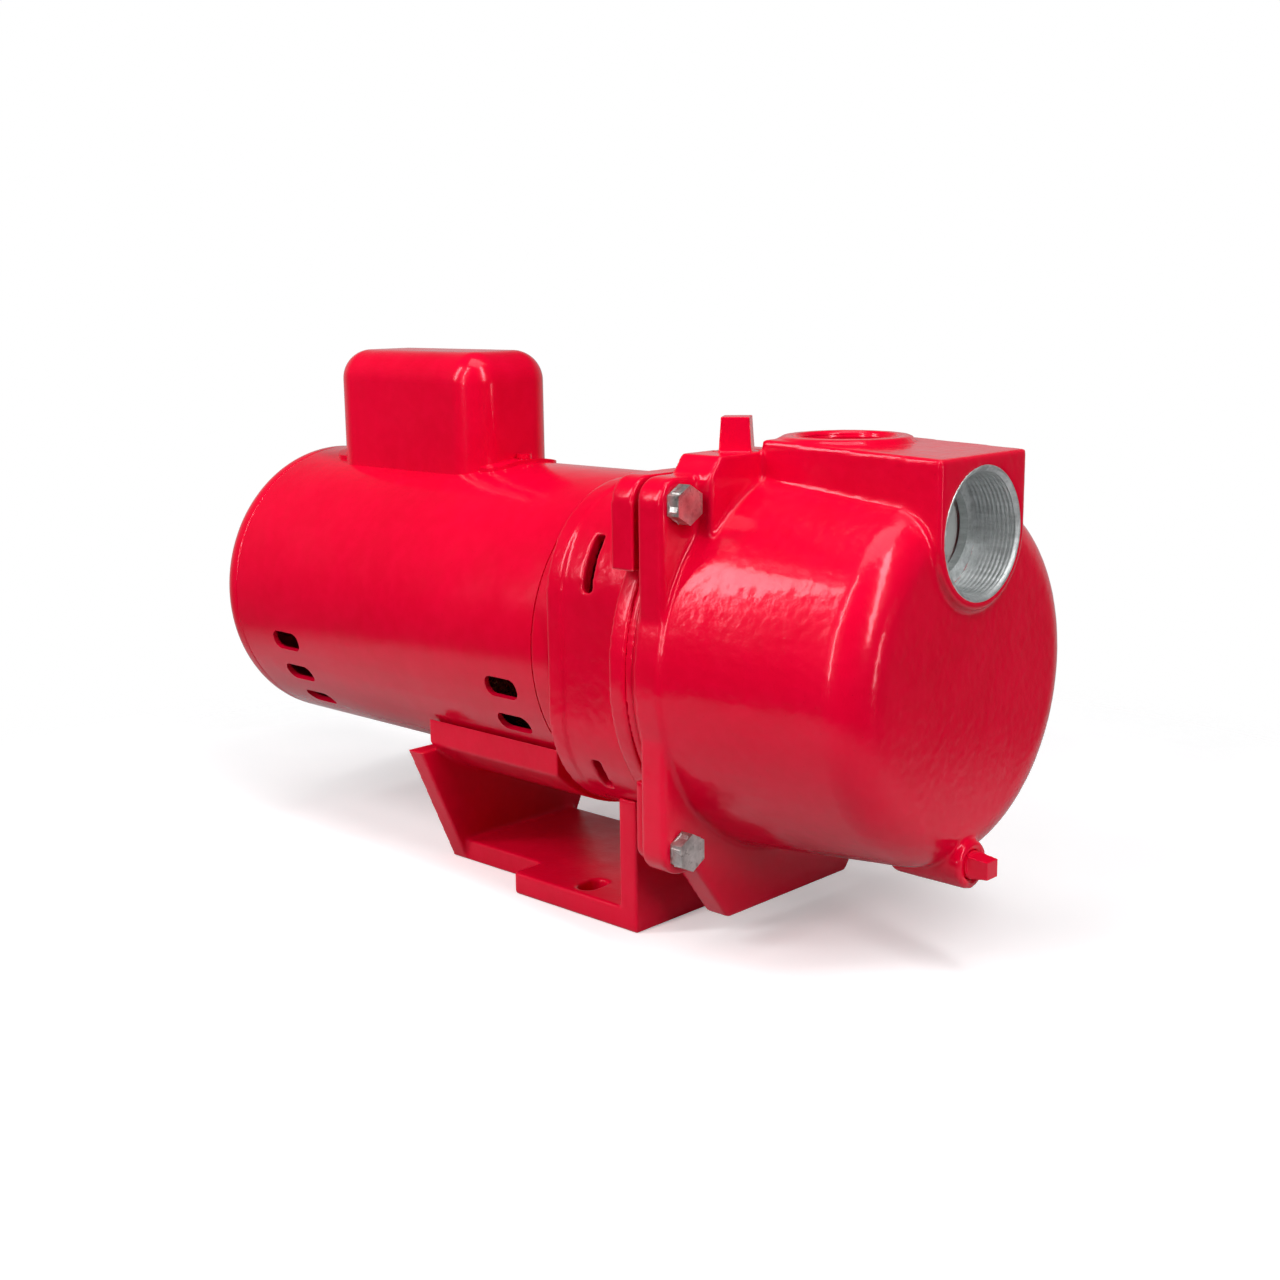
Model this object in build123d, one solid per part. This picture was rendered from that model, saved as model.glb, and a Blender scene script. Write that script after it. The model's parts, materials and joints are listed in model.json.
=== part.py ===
"""Self-priming cast-iron centrifugal pump, close-coupled to a 56-frame motor on a cast stand.

Millimetres. X runs along the shaft towards the suction port, Z is up, and the origin is on the floor
under the shaft, midway between the two anchor slots of the stand. Most parts are built about the shaft,
with z = 0 on it, and save() lifts them to the shaft's height.
"""

from build123d import *
import math
import os

os.makedirs("parts", exist_ok=True)

# ---- driving dimensions -------------------------------------------------------------------------
SHAFT_Z = 140.0            # shaft height above the floor

SHELL_R = 82.5             # 6.5 in motor shell
SHELL_T = 3.0
SHELL_X0, SHELL_X1 = -262.0, -6.0
REAR_X = -278.5            # rear face of the motor
FACE_X = 7.0               # motor's mounting face
PILOT_R = 57.15            # 4.5 in pilot of the mounting face
FACE_SCREW_R = 74.6        # 5.875 in bolt circle
CORE_X0, CORE_X1 = -185.0, -85.0
ROTOR_R = 44.0
AIR_GAP = 0.4
VENT_X = (-219.0, -32.5)
VENT_ANGLES = (-16.0, -31.5, -47.0)
VENT_LENGTH, VENT_WIDTH = 24.0, 11.5

BEARING_BORE, BEARING_OUTER, BEARING_W = 8.5, 20.0, 12.0
BALL_R, BALL_TRACK, BALLS = 3.3, 14.25, 8
FRONT_BEARING_X, REAR_BEARING_X = -13.0, -268.0

ADAPTER_X1 = 72.0          # adapter's front face
ADAPTER_HALF, ADAPTER_CORNER = 82.5, 54.0         # rounded square body
ADAPTER_WALL, ADAPTER_BORE = 6.0, 85.0
FLANGE_R = 97.0
BOLT_OFFSET = 81.0         # casing bolts stand on a 162 mm square
BOLT_R = 5.56              # 7/16 in
LUG_R = 12.0
PLATE_LUG_R = 8.5          # seal plate's lower lugs
LUG_INNER = 50.0           # where a square lug begins, on both axes

PLATE_X0, PLATE_X1 = 72.0, 76.5     # seal plate's rim
PLATE_R = 96.0
CASING_X0 = 78.0           # after a 1.5 mm gasket
FLANGE_X1 = 93.0           # front of the casing's flange
FRONT_X = 197.0            # barrel's front face
FLANGE_HALF = BOLT_OFFSET + LUG_R                 # casing's square flange
BARREL_R0, BARREL_R1 = 96.0, 88.0
NOSE_FILLET = 20.0
CASING_WALL = 8.0
BLOCK_HALF = 34.0          # half-width of the port block
BLOCK_TOP_FRONT, BLOCK_TOP_REAR = 103.0, 107.0
BLOCK_X0 = 101.5
SUCTION_X = 200.7
SUCTION_Z = 68.0
SUCTION_R = 29.0           # 2 in pipe thread
DISCHARGE_X = 125.0
DISCHARGE_Z = 108.0
DISCHARGE_R = 23.4         # 1-1/2 in pipe thread
PRIMING_X, PRIMING_Y, PRIMING_Z, PRIMING_R = 89.5, -37.0, 101.5, 10.65
PRIMING_THREAD = 9.0
PLUG_TURN = 34.0           # how far the priming plug is screwed round
DRAIN_Z, DRAIN_R, DRAIN_X1 = -85.0, 6.85, 200.0
SEAT_X = 174.0             # back of the check valve's seat
FLAP_PIN_Z = 93.0
FLAP_PIN_X = 171.0

FOOT_X0, FOOT_X1 = -46.0, 45.4
FOOT_HALF, FOOT_T = 62.5, 11.6
TONGUE_HALF = 42.0
UPRIGHT_X0, UPRIGHT_T = -119.0, 12.0
UPRIGHT_TOP_HALF, UPRIGHT_TOP_Z = 72.0, 68.0
LEG_T = 11.6
PAD_T = 1.5
SADDLE_T = 10.0
SADDLE_HALF = 65.0
SADDLE_X1 = -7.0
SLOT_Y, SLOT_R, SLOT_LENGTH = 48.0, 5.5, 18.0

COVER_X0, COVER_X1 = -229.0, -102.0
COVER_HALF, COVER_TOP, COVER_WALL = 31.0, 143.0, 2.0
COVER_LIP = 11.0
COVER_CORNER, COVER_CROWN = 18.0, 17.0
COVER_SCREW_X = (COVER_X0 - COVER_LIP / 2, COVER_X1 + COVER_LIP / 2)
COVER_SCREW_R = 2.0
CAPACITOR_Z, CAPACITOR_R = 116.0, 18.5
CAPACITOR_X0, CAPACITOR_X1 = -212.0, -128.0

STAND_SCREW_R, STAND_SCREW_Y, STAND_SCREW_Z = 3.97, 12.0, -107.0
WEB_X0, WEB_X1 = 22.0, FOOT_X1 - LEG_T            # adapter's web that the leg is screwed to
WINDOW_X0, WINDOW_X1, WINDOW_HALF = 31.0, 37.0, 14.0
DRAIN_SLIT_HALF = 9.0
WINDOW_ANGLE, DRAIN_SLIT_ANGLE = 58.0, 128.0      # from the top, each side
FLANGE_X0 = ADAPTER_X1 - 10                       # rear of the adapter's front flange
LUG_X1 = ADAPTER_X1 + 3                           # front of its two upper lugs

CONDUIT_Y, CONDUIT_Z, CONDUIT_R = 48.0, -8.0, 10.2
TERMINAL_Z, TERMINAL_SCREW_Y = 50.0, 22.0
THRU_CIRCLE, THRU_BOLT_R = 72.0, 2.6

STATOR_SLOTS = 24
SHAFT_R, SHAFT_FRONT_R, SHAFT_CORE_R = 10.0, 7.94, 11.0
WEIGHT_PIN_X, WEIGHT_PIN_Z = -209.0, 22.0
LEVER_PIN_X, LEVER_PIN_Z = -237.0, 40.0
PIN_R = 1.5
PIN_HOLE_R = 1.55

IMPELLER_R, IMPELLER_EYE_R, VANES = 62.0, 23.5, 6
VANE_R, VANE_T, VANE_CENTRE = 34.0, 3.0, 35.0
DIFFUSER_R, DIFFUSER_WALL, DIFFUSER_X1 = 76.0, 6.0, 104.0
DISCHARGE_THREAD, DISCHARGE_BORE = 20.0, 20.5
SUCTION_THREAD = 22.0
SEAT_BORE = 21.0
DISC_R, DISC_T = 24.5, 3.6
FLAP_WEIGHT_R, FLAP_WEIGHT_T = 17.0, 3.5

LOW = (Align.CENTER, Align.CENTER, Align.MIN)


# ---- helpers, all about the shaft ---------------------------------------------------------------
def save(shape, node):
    """Lifts a part from the shaft's frame to the floor's and writes it."""
    export_step(Pos(0, 0, SHAFT_Z) * shape, f"parts/{node}.step")


def rod(x0, x1, r, y=0.0, z=0.0):
    return Pos(x0, y, z) * Rot(0, 90, 0) * Cylinder(r, x1 - x0, align=LOW)


def ring(x0, x1, r_out, r_in, y=0.0, z=0.0):
    return rod(x0, x1, r_out, y, z) - rod(x0 - 1, x1 + 1, r_in, y, z)


def rounded_square(x0, x1, half, corner):
    return Pos(x0, 0, 0) * Rot(0, 90, 0) * extrude(RectangleRounded(2 * half, 2 * half, corner), x1 - x0)


def post(z0, z1, r, x, y=0.0):
    return Pos(x, y, z0) * Cylinder(r, z1 - z0, align=LOW)


def cross_pin(y0, y1, r, x, z):
    return Pos(x, y0, z) * Rot(-90, 0, 0) * Cylinder(r, y1 - y0, align=LOW)


def block(x0, x1, y0, y1, z0, z1):
    centre = Pos((x0 + x1) / 2, (y0 + y1) / 2, (z0 + z1) / 2)
    return centre * Box(x1 - x0, y1 - y0, z1 - z0)


def slab(x0, x1, outline):
    """A plate across the shaft: outline is a list of (y, z)."""
    face = make_face(Polyline(*[(x0, y, z) for y, z in outline], close=True))
    return extrude(face, amount=x1 - x0, dir=(1, 0, 0))


def turned(outline):
    """A solid of revolution about the shaft: outline is a list of (x, radius)."""
    face = make_face(Polyline(*[(x, 0, r) for x, r in outline], close=True))
    return revolve(face, axis=Axis.X)


def around(shape, count, start=0.0):
    """Copies of a shape turned about the shaft."""
    return [Rot(start + i * 360 / count, 0, 0) * shape for i in range(count)]


def corners(offset):
    return [(sy * offset, sz * offset) for sy in (-1, 1) for sz in (-1, 1)]


def hex_prism(x0, x1, across_flats, y=0.0, z=0.0):
    face = RegularPolygon(across_flats / math.sqrt(3), 6)
    prism = extrude(face, amount=x1 - x0)
    return Pos(x0, y, z) * Rot(0, 90, 0) * prism


def group(shapes):
    return Compound(children=list(shapes))


# ---- stand --------------------------------------------------------------------------------------
def base_stand():
    floor = -SHAFT_Z
    foot = block(FOOT_X0, FOOT_X1, -FOOT_HALF, FOOT_HALF, floor, floor + FOOT_T)
    foot = fillet(foot.edges().filter_by(Axis.Z), 3.0)
    tongue = block(UPRIGHT_X0, FOOT_X0 + 10, -TONGUE_HALF, TONGUE_HALF, floor, floor + FOOT_T)
    leg = block(FOOT_X1 - LEG_T, FOOT_X1, -FOOT_HALF, FOOT_HALF, floor, -50)
    upright_outline = [
        (-TONGUE_HALF, floor),
        (TONGUE_HALF, floor),
        (UPRIGHT_TOP_HALF, floor + UPRIGHT_TOP_Z),
        (-UPRIGHT_TOP_HALF, floor + UPRIGHT_TOP_Z),
    ]
    upright = slab(UPRIGHT_X0, UPRIGHT_X0 + UPRIGHT_T, upright_outline)
    pad_r = SHELL_R + PAD_T
    saddle = ring(UPRIGHT_X0 + UPRIGHT_T - 1, SADDLE_X1, pad_r + SADDLE_T, pad_r)
    saddle &= block(UPRIGHT_X0, SADDLE_X1, -SADDLE_HALF, SADDLE_HALF, floor, -40)
    stand = foot + tongue + leg + upright + saddle
    stand -= rod(UPRIGHT_X0 - 1, SADDLE_X1 + 1, pad_r)
    stand -= rounded_square(SADDLE_X1 + 10, FOOT_X1 + 1, ADAPTER_HALF + 0.15, ADAPTER_CORNER)
    half_run = SLOT_LENGTH / 2 - SLOT_R
    for side in (-1, 1):
        y = side * SLOT_Y
        stand -= post(floor - 1, floor + FOOT_T + 1, SLOT_R, 0, y - half_run)
        stand -= post(floor - 1, floor + FOOT_T + 1, SLOT_R, 0, y + half_run)
        stand -= block(-SLOT_R, SLOT_R, y - half_run, y + half_run, floor - 1, floor + FOOT_T + 1)
        screw_y = side * STAND_SCREW_Y
        stand -= rod(WEB_X1 - 1, FOOT_X1 + 1, STAND_SCREW_R + 0.3, screw_y, STAND_SCREW_Z)
    return stand


def motor_pad():
    pad = ring(UPRIGHT_X0 + 1, SADDLE_X1 - 1, SHELL_R + PAD_T, SHELL_R)
    return pad & block(UPRIGHT_X0, SADDLE_X1, -SADDLE_HALF + 10, SADDLE_HALF - 10, -SHAFT_Z, -40)


def stand_screws():
    screws = []
    for side in (-1, 1):
        y = side * STAND_SCREW_Y
        head = hex_prism(FOOT_X1, FOOT_X1 + 5.3, 12.7, y, STAND_SCREW_Z)
        screws.append(head + rod(WEB_X0, FOOT_X1 + 1, STAND_SCREW_R, y, STAND_SCREW_Z))
    return group(screws)


# ---- adapter ------------------------------------------------------------------------------------
def square_lug(x0, x1, y, z, radius=LUG_R):
    """A square lug on the flange's corner, rounded about its bolt."""
    side_y, side_z = math.copysign(1, y), math.copysign(1, z)
    outer_y, outer_z = y + side_y * radius, z + side_z * radius
    inner_y, inner_z = side_y * LUG_INNER, side_z * LUG_INNER
    upright = block(x0, x1, *sorted((inner_y, outer_y)), *sorted((inner_z, z)))
    level = block(x0, x1, *sorted((inner_y, y)), *sorted((inner_z, outer_z)))
    return upright + level + rod(x0, x1, radius, y, z)


def mounting_adapter():
    body = rounded_square(FACE_X, FACE_X + 10, ADAPTER_HALF + 1, ADAPTER_CORNER + 2)
    body += rounded_square(FACE_X + 9, FLANGE_X0 + 1, ADAPTER_HALF, ADAPTER_CORNER)
    body += rod(FLANGE_X0, ADAPTER_X1, FLANGE_R)
    body += block(WEB_X0, WEB_X1, -24, 24, -118, -80)
    for y, z in corners(BOLT_OFFSET)[1::2]:
        body += square_lug(FLANGE_X0, LUG_X1, y, z) - rod(ADAPTER_X1, LUG_X1 + 1, FLANGE_R + 0.3)
        body -= rod(FLANGE_X0 - 1, LUG_X1 + 1, BOLT_R, y, z)
    body -= rod(FACE_X - 1, FACE_X + 11, PILOT_R + 0.15)
    cavity_half, cavity_corner = ADAPTER_HALF - ADAPTER_WALL, ADAPTER_CORNER - 5
    body -= rounded_square(FACE_X + 10, ADAPTER_X1 - 5.5, cavity_half, cavity_corner)
    body -= rod(ADAPTER_X1 - 5.6, ADAPTER_X1 + 1, ADAPTER_BORE)
    for side in (-1, 1):
        body -= rod(WEB_X0 - 1, WEB_X1 + 1, STAND_SCREW_R, side * STAND_SCREW_Y, STAND_SCREW_Z)
    window = block(WINDOW_X0, WINDOW_X1, -WINDOW_HALF, WINDOW_HALF, 70, 110)
    drain_slit = block(WINDOW_X0, WINDOW_X1, -DRAIN_SLIT_HALF, DRAIN_SLIT_HALF, 70, 110)
    for side in (-1, 1):
        body -= Rot(side * WINDOW_ANGLE, 0, 0) * window
        body -= Rot(side * DRAIN_SLIT_ANGLE, 0, 0) * drain_slit
    for hole in around(rod(FACE_X - 1, FACE_X + 11, 5.1, 0, FACE_SCREW_R), 4, 45):
        body -= hole
    return body


def face_screws():
    head = hex_prism(FACE_X + 10, FACE_X + 16, 14.3, 0, FACE_SCREW_R)
    screw = head + rod(FACE_X - 12, FACE_X + 11, 4.76, 0, FACE_SCREW_R)
    return group(around(screw, 4, 45))


# ---- motor housing ------------------------------------------------------------------------------
def motor_shell():
    shell = ring(SHELL_X0, SHELL_X1, SHELL_R, SHELL_R - SHELL_T)
    half_l, half_w = VENT_LENGTH / 2, VENT_WIDTH / 2
    slot = block(-half_l, half_l, SHELL_R - 10, SHELL_R + 10, -half_w, half_w)
    slot = fillet(slot.edges().filter_by(Axis.Y), VENT_WIDTH * 0.45)
    for x in VENT_X:
        for angle in VENT_ANGLES:
            shell -= Rot(angle, 0, 0) * Pos(x, 0, 0) * slot
            shell -= Rot(180 - angle, 0, 0) * Pos(x, 0, 0) * slot
    for x in COVER_SCREW_X:
        shell -= post(70, 90, COVER_SCREW_R, x)
    shell -= post(70, 90, 9.0, -145)
    return shell


def rear_end_shield():
    rim, wall, round_r = SHELL_R, 4.5, 12.0
    corner_x, corner_r = REAR_X + round_r, rim - round_r
    diagonal = round_r * math.sqrt(0.5)
    outer = Polyline((REAR_X, 0, 10.0), (REAR_X, 0, corner_r))
    outer += ThreePointArc(
        (REAR_X, 0, corner_r),
        (corner_x - diagonal, 0, corner_r + diagonal),
        (corner_x, 0, rim),
    )
    outer += Polyline(
        (corner_x, 0, rim),
        (SHELL_X0, 0, rim),
        (SHELL_X0, 0, rim - SHELL_T),
        (SHELL_X0 + 8, 0, rim - SHELL_T),
        (SHELL_X0 + 8, 0, rim - SHELL_T - wall),
        (corner_x + 4, 0, rim - SHELL_T - wall),
        (REAR_X + wall, 0, corner_r - 4),
        (REAR_X + wall, 0, 10.0),
        (REAR_X, 0, 10.0),
    )
    shield = revolve(make_face(outer), axis=Axis.X)
    shield += ring(REAR_X + wall - 1, REAR_BEARING_X + BEARING_W, BEARING_OUTER + 6, BEARING_OUTER)
    shield += ring(REAR_X + wall - 1, REAR_BEARING_X, BEARING_OUTER + 1, 10.0)
    shield += rod(REAR_X + 1, REAR_X + 13, 15, CONDUIT_Y, CONDUIT_Z)
    for boss in around(rod(REAR_X + 3, REAR_X + 14, 7, 0, THRU_CIRCLE), 4):
        shield += boss
    for pocket in around(rod(REAR_X - 1, REAR_X + 6, 6, 0, THRU_CIRCLE), 4):
        shield -= pocket
    for hole in around(rod(REAR_X, REAR_X + 20, THRU_BOLT_R, 0, THRU_CIRCLE), 4):
        shield -= hole
    shield -= rod(REAR_X - 1, REAR_X + 20, CONDUIT_R, CONDUIT_Y, CONDUIT_Z)
    shield -= block(REAR_X - 1, REAR_X + wall + 1, -18, 18, TERMINAL_Z - 12, TERMINAL_Z + 12)
    for side in (-1, 1):
        shield -= rod(REAR_X - 1, REAR_X + wall + 1, 2.0, side * TERMINAL_SCREW_Y, TERMINAL_Z)
    return shield


def front_end_shield():
    hub_x0 = FRONT_BEARING_X
    shield = ring(SHELL_X1, FACE_X, SHELL_R, 12.0)
    shield += ring(FACE_X - 1, FACE_X + 3, PILOT_R, 12.0)
    shield += ring(SHELL_X1 - 8, SHELL_X1 + 1, SHELL_R - SHELL_T, SHELL_R - SHELL_T - 5)
    shield += ring(hub_x0, SHELL_X1 + 1, BEARING_OUTER + 6, BEARING_OUTER)
    shield -= rod(hub_x0 - 1, hub_x0 + BEARING_W, BEARING_OUTER)
    shield -= ring(SHELL_X1, SHELL_X1 + 5, 50, BEARING_OUTER + 12)
    for hole in around(rod(SHELL_X1 - 10, FACE_X + 1, 4.76, 0, FACE_SCREW_R), 4, 45):
        shield -= hole
    for hole in around(rod(SHELL_X1 - 10, FACE_X - 3, THRU_BOLT_R, 0, THRU_CIRCLE), 4):
        shield -= hole
    return shield


def thru_bolts():
    head = hex_prism(REAR_X + 2, REAR_X + 6, 8.0, 0, THRU_CIRCLE)
    bolt = head + rod(REAR_X + 5, FACE_X - 3, THRU_BOLT_R, 0, THRU_CIRCLE)
    return group(around(bolt, 4))


def shaft_cap():
    return rod(REAR_X - 2, REAR_X, 13) + rod(REAR_X - 1, REAR_X + 6, 10)


def terminal_cover():
    plate = block(REAR_X - 2.5, REAR_X, -27, 27, TERMINAL_Z - 15, TERMINAL_Z + 15)
    plate = fillet(plate.edges().filter_by(Axis.X), 4)
    for side in (-1, 1):
        plate -= rod(REAR_X - 3, REAR_X + 1, 2.1, side * TERMINAL_SCREW_Y, TERMINAL_Z)
    return plate


def terminal_cover_screws():
    screws = []
    for side in (-1, 1):
        y = side * TERMINAL_SCREW_Y
        head = rod(REAR_X - 5, REAR_X - 2.5, 4, y, TERMINAL_Z)
        screws.append(head + rod(REAR_X - 3, REAR_X + 8, 2.0, y, TERMINAL_Z))
    return group(screws)


def terminal_board():
    return block(REAR_X + 9, REAR_X + 12, -17, 17, TERMINAL_Z - 11, TERMINAL_Z + 8)


def terminal_studs():
    return group(rod(REAR_X + 5, REAR_X + 9, 2.4, y, TERMINAL_Z - 3) for y in (-10, 0, 10))


# ---- motor inside -------------------------------------------------------------------------------
def stator_core():
    core = ring(CORE_X0, CORE_X1, SHELL_R - SHELL_T, ROTOR_R + AIR_GAP)
    winding_slot = block(CORE_X0 - 1, CORE_X1 + 1, -2.5, 2.5, 47, 66)
    mouth = block(CORE_X0 - 1, CORE_X1 + 1, -1.2, 1.2, 43, 48)
    for cut in around(winding_slot + mouth, STATOR_SLOTS, 180 / STATOR_SLOTS):
        core -= cut
    for hole in around(rod(CORE_X0 - 1, CORE_X1 + 1, 3.0, 0, THRU_CIRCLE), 4):
        core -= hole
    return core


def stator_windings():
    end_length, bulge = 27.0, 4.0
    coils = None
    for x0, x1 in ((CORE_X0 - end_length, CORE_X0), (CORE_X1, CORE_X1 + end_length)):
        outline = [
            (x0 + bulge, 48), (x1 - bulge, 48), (x1, 50), (x1, 65), (x1 - bulge, 68),
            (x0 + bulge, 68), (x0, 65), (x0, 50),
        ]
        end_turns = turned(outline)
        coils = end_turns if coils is None else coils + end_turns
    bar = block(CORE_X0 - 3, CORE_X1 + 3, -2.2, 2.2, 50, 65.5)
    for slot_bar in around(bar, STATOR_SLOTS, 180 / STATOR_SLOTS):
        coils += slot_bar
    return coils


def rotor_core():
    return ring(CORE_X0, CORE_X1, ROTOR_R, 11.0)


def rotor_cage():
    rings = []
    for x0, x1, blade0, blade1 in (
        (CORE_X0 - 7, CORE_X0, CORE_X0 - 17, CORE_X0 - 6),
        (CORE_X1, CORE_X1 + 7, CORE_X1 + 6, CORE_X1 + 17),
    ):
        end_ring = ring(x0, x1, 42, 28)
        for blade in around(block(blade0, blade1, -1.5, 1.5, 29, 41), 8):
            end_ring += blade
        rings.append(end_ring)
    return group(rings)


def motor_shaft():
    outline = [
        (-271, 0), (-271, BEARING_BORE), (-254, BEARING_BORE), (-254, SHAFT_R), (-206, SHAFT_R),
        (-206, SHAFT_CORE_R), (-64, SHAFT_CORE_R), (-64, SHAFT_R), (-14, SHAFT_R), (-14, BEARING_BORE),
        (3, BEARING_BORE), (3, SHAFT_FRONT_R), (78, SHAFT_FRONT_R), (78, 5.5), (96, 5.5), (96, 0),
    ]
    return turned(outline)


def bearing_outer(x0):
    race = ring(x0, x0 + BEARING_W, BEARING_OUTER, 16.0)
    return race - Pos(x0 + BEARING_W / 2, 0, 0) * Rot(0, 90, 0) * Torus(BALL_TRACK, BALL_R + 0.05)


def bearing_inner(x0):
    race = ring(x0, x0 + BEARING_W, 12.5, BEARING_BORE)
    return race - Pos(x0 + BEARING_W / 2, 0, 0) * Rot(0, 90, 0) * Torus(BALL_TRACK, BALL_R + 0.05)


def bearing_balls(x0):
    middle = x0 + BEARING_W / 2
    balls = around(Pos(middle, 0, BALL_TRACK) * Sphere(BALL_R), BALLS)
    cage = ring(middle - 2, middle + 2, 15.2, 13.3)
    for pocket in around(Pos(middle, 0, BALL_TRACK) * Sphere(BALL_R + 0.05), BALLS):
        cage -= pocket
    return group(balls + [cage])


# ---- centrifugal starting switch ----------------------------------------------------------------
def governor_hub():
    hub = ring(-214, -206.5, 17, 10.0)
    for side in (-1, 1):
        for y in (-8.5, 8.5):
            low, high = sorted((side * 10, side * 25))
            hub += block(-214, -206.5, y - 1.5, y + 1.5, low, high)
        hub -= cross_pin(-12, 12, PIN_R, WEIGHT_PIN_X, side * WEIGHT_PIN_Z)
    return hub


def governor_weight(side):
    weight = block(-224.5, -206.8, -6.6, 6.6, 19.2, 25.5)
    weight -= cross_pin(-9, 9, PIN_HOLE_R, WEIGHT_PIN_X, WEIGHT_PIN_Z)
    return weight if side > 0 else Rot(180, 0, 0) * weight


def governor_pins():
    return group(cross_pin(-10, 10, PIN_R, WEIGHT_PIN_X, side * WEIGHT_PIN_Z) for side in (-1, 1))


def governor_spool():
    return ring(-234, -231, 18, 10.05) + ring(-231.5, -228.3, 13, 10.05)


def switch_plate():
    plate = block(-253, -250, -22, 22, 30, 62)
    for y in (-15, 15):
        plate += rod(REAR_X + 4.5, -252, 3, y, 34.5)
    for y in (-6.5, 6.5):
        plate += block(-251, LEVER_PIN_X + 3, y - 1.5, y + 1.5, LEVER_PIN_Z - 4, LEVER_PIN_Z + 4)
    return plate - cross_pin(-9, 9, PIN_R, LEVER_PIN_X, LEVER_PIN_Z)


def switch_lever():
    lever = block(-236.5, -234.5, -4.6, 4.6, 14, 41) + cross_pin(-4.6, 4.6, 3, LEVER_PIN_X, LEVER_PIN_Z)
    return lever - cross_pin(-9, 9, PIN_HOLE_R, LEVER_PIN_X, LEVER_PIN_Z)


# ---- capacitor and its cover --------------------------------------------------------------------
def capacitor_cover():
    def hood(inset, top):
        body = block(COVER_X0 + inset, COVER_X1 - inset, -COVER_HALF + inset, COVER_HALF - inset, 60, top)
        body = fillet(body.edges().filter_by(Axis.Z), COVER_CORNER - inset)
        return fillet(body.faces().sort_by(Axis.Z)[-1].edges(), COVER_CROWN - inset)

    lip = ring(COVER_X0 - COVER_LIP, COVER_X1 + COVER_LIP, SHELL_R + 2, SHELL_R)
    trim = block(COVER_X0 - COVER_LIP, COVER_X1 + COVER_LIP, -25, 25, 60, 90)
    lip &= fillet(trim.edges().filter_by(Axis.Z), 10)
    cover = hood(0, COVER_TOP) + lip
    cover -= hood(COVER_WALL, COVER_TOP - COVER_WALL)
    cover -= rod(COVER_X0 - 20, COVER_X1 + 20, SHELL_R)
    for x in COVER_SCREW_X:
        cover -= post(70, 90, COVER_SCREW_R + 0.1, x)
    return cover


def cover_screws():
    screws = []
    for x in COVER_SCREW_X:
        head = post(SHELL_R + 2, SHELL_R + 4.6, 4, x)
        screws.append(head + post(SHELL_R - SHELL_T, SHELL_R + 3, COVER_SCREW_R, x))
    return group(screws)


def start_capacitor():
    can = rod(CAPACITOR_X0, CAPACITOR_X1, CAPACITOR_R, 0, CAPACITOR_Z)
    return fillet(can.edges(), 2.0)


def capacitor_terminals():
    tab = block(CAPACITOR_X1, CAPACITOR_X1 + 9, -3, 3, CAPACITOR_Z - 0.5, CAPACITOR_Z + 0.5)
    return group([Pos(0, y, 0) * tab for y in (-8, 8)])


def capacitor_clip():
    strap = ring(-182, -166, CAPACITOR_R + 1.2, CAPACITOR_R, 0, CAPACITOR_Z)
    foot = block(-182, -166, -12, 12, 70, CAPACITOR_Z) - rod(-183, -165, CAPACITOR_R + 0.6, 0, CAPACITOR_Z)
    return strap + (foot - rod(-183, -165, SHELL_R))


# ---- seal, impeller and diffuser ----------------------------------------------------------------
def slinger():
    bore = SHAFT_FRONT_R
    return turned([(28, bore), (28, 12), (31, 21), (33, 21), (34, 12), (36, 10), (36, bore)])


def seal_plate():
    plate = ring(PLATE_X0, PLATE_X1, PLATE_R, 19.0)
    for y, z in corners(BOLT_OFFSET)[0::2]:
        plate += square_lug(PLATE_X0, PLATE_X1, y, z, PLATE_LUG_R)
        plate -= rod(PLATE_X0 - 1, PLATE_X1 + 1, BOLT_R, y, z)
    plate += ring(54, PLATE_X0 + 1, 26, 9.2)
    plate += ring(PLATE_X0 - 5, PLATE_X0 + 1, ADAPTER_BORE - 0.1, 76)
    plate -= rod(56, 63, 15)
    plate -= rod(62, PLATE_X1 + 1, 19)
    for hole in around(rod(PLATE_X0 - 1, PLATE_X1 + 1, 2.0, 0, DIFFUSER_R - 3), 3):
        plate -= hole
    return plate


def seal_seat():
    return ring(56, 62, 15, 9.2)


def seal_head():
    return ring(62.3, 69, 13.5, SHAFT_FRONT_R)


def seal_spring():
    """Three turns of round wire between the seal's head and the impeller."""
    wire, coil = 0.9, 11.0
    path = Helix(pitch=2.5, height=7.0, radius=coil)
    section = Plane(origin=path @ 0, z_dir=path % 0) * Circle(wire)
    spring = sweep(section, path=path, is_frenet=True)
    return Pos(70.0, 0, 0) * Rot(0, 90, 0) * spring


def impeller():
    body = ring(78, 98, 13, 5.5) + ring(79, 82.5, IMPELLER_R, 12)
    vane = ring(81.5, 93, VANE_R, VANE_R - VANE_T, VANE_CENTRE, 0)
    vane &= block(81, 94, -5, 80, 0, 80)
    vane &= ring(81, 93, IMPELLER_R - 1, 24)
    for one in around(vane, VANES):
        body += one
    body += ring(92, 95, IMPELLER_R, IMPELLER_EYE_R) + ring(94, 104, IMPELLER_EYE_R + 3, IMPELLER_EYE_R)
    return body


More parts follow.
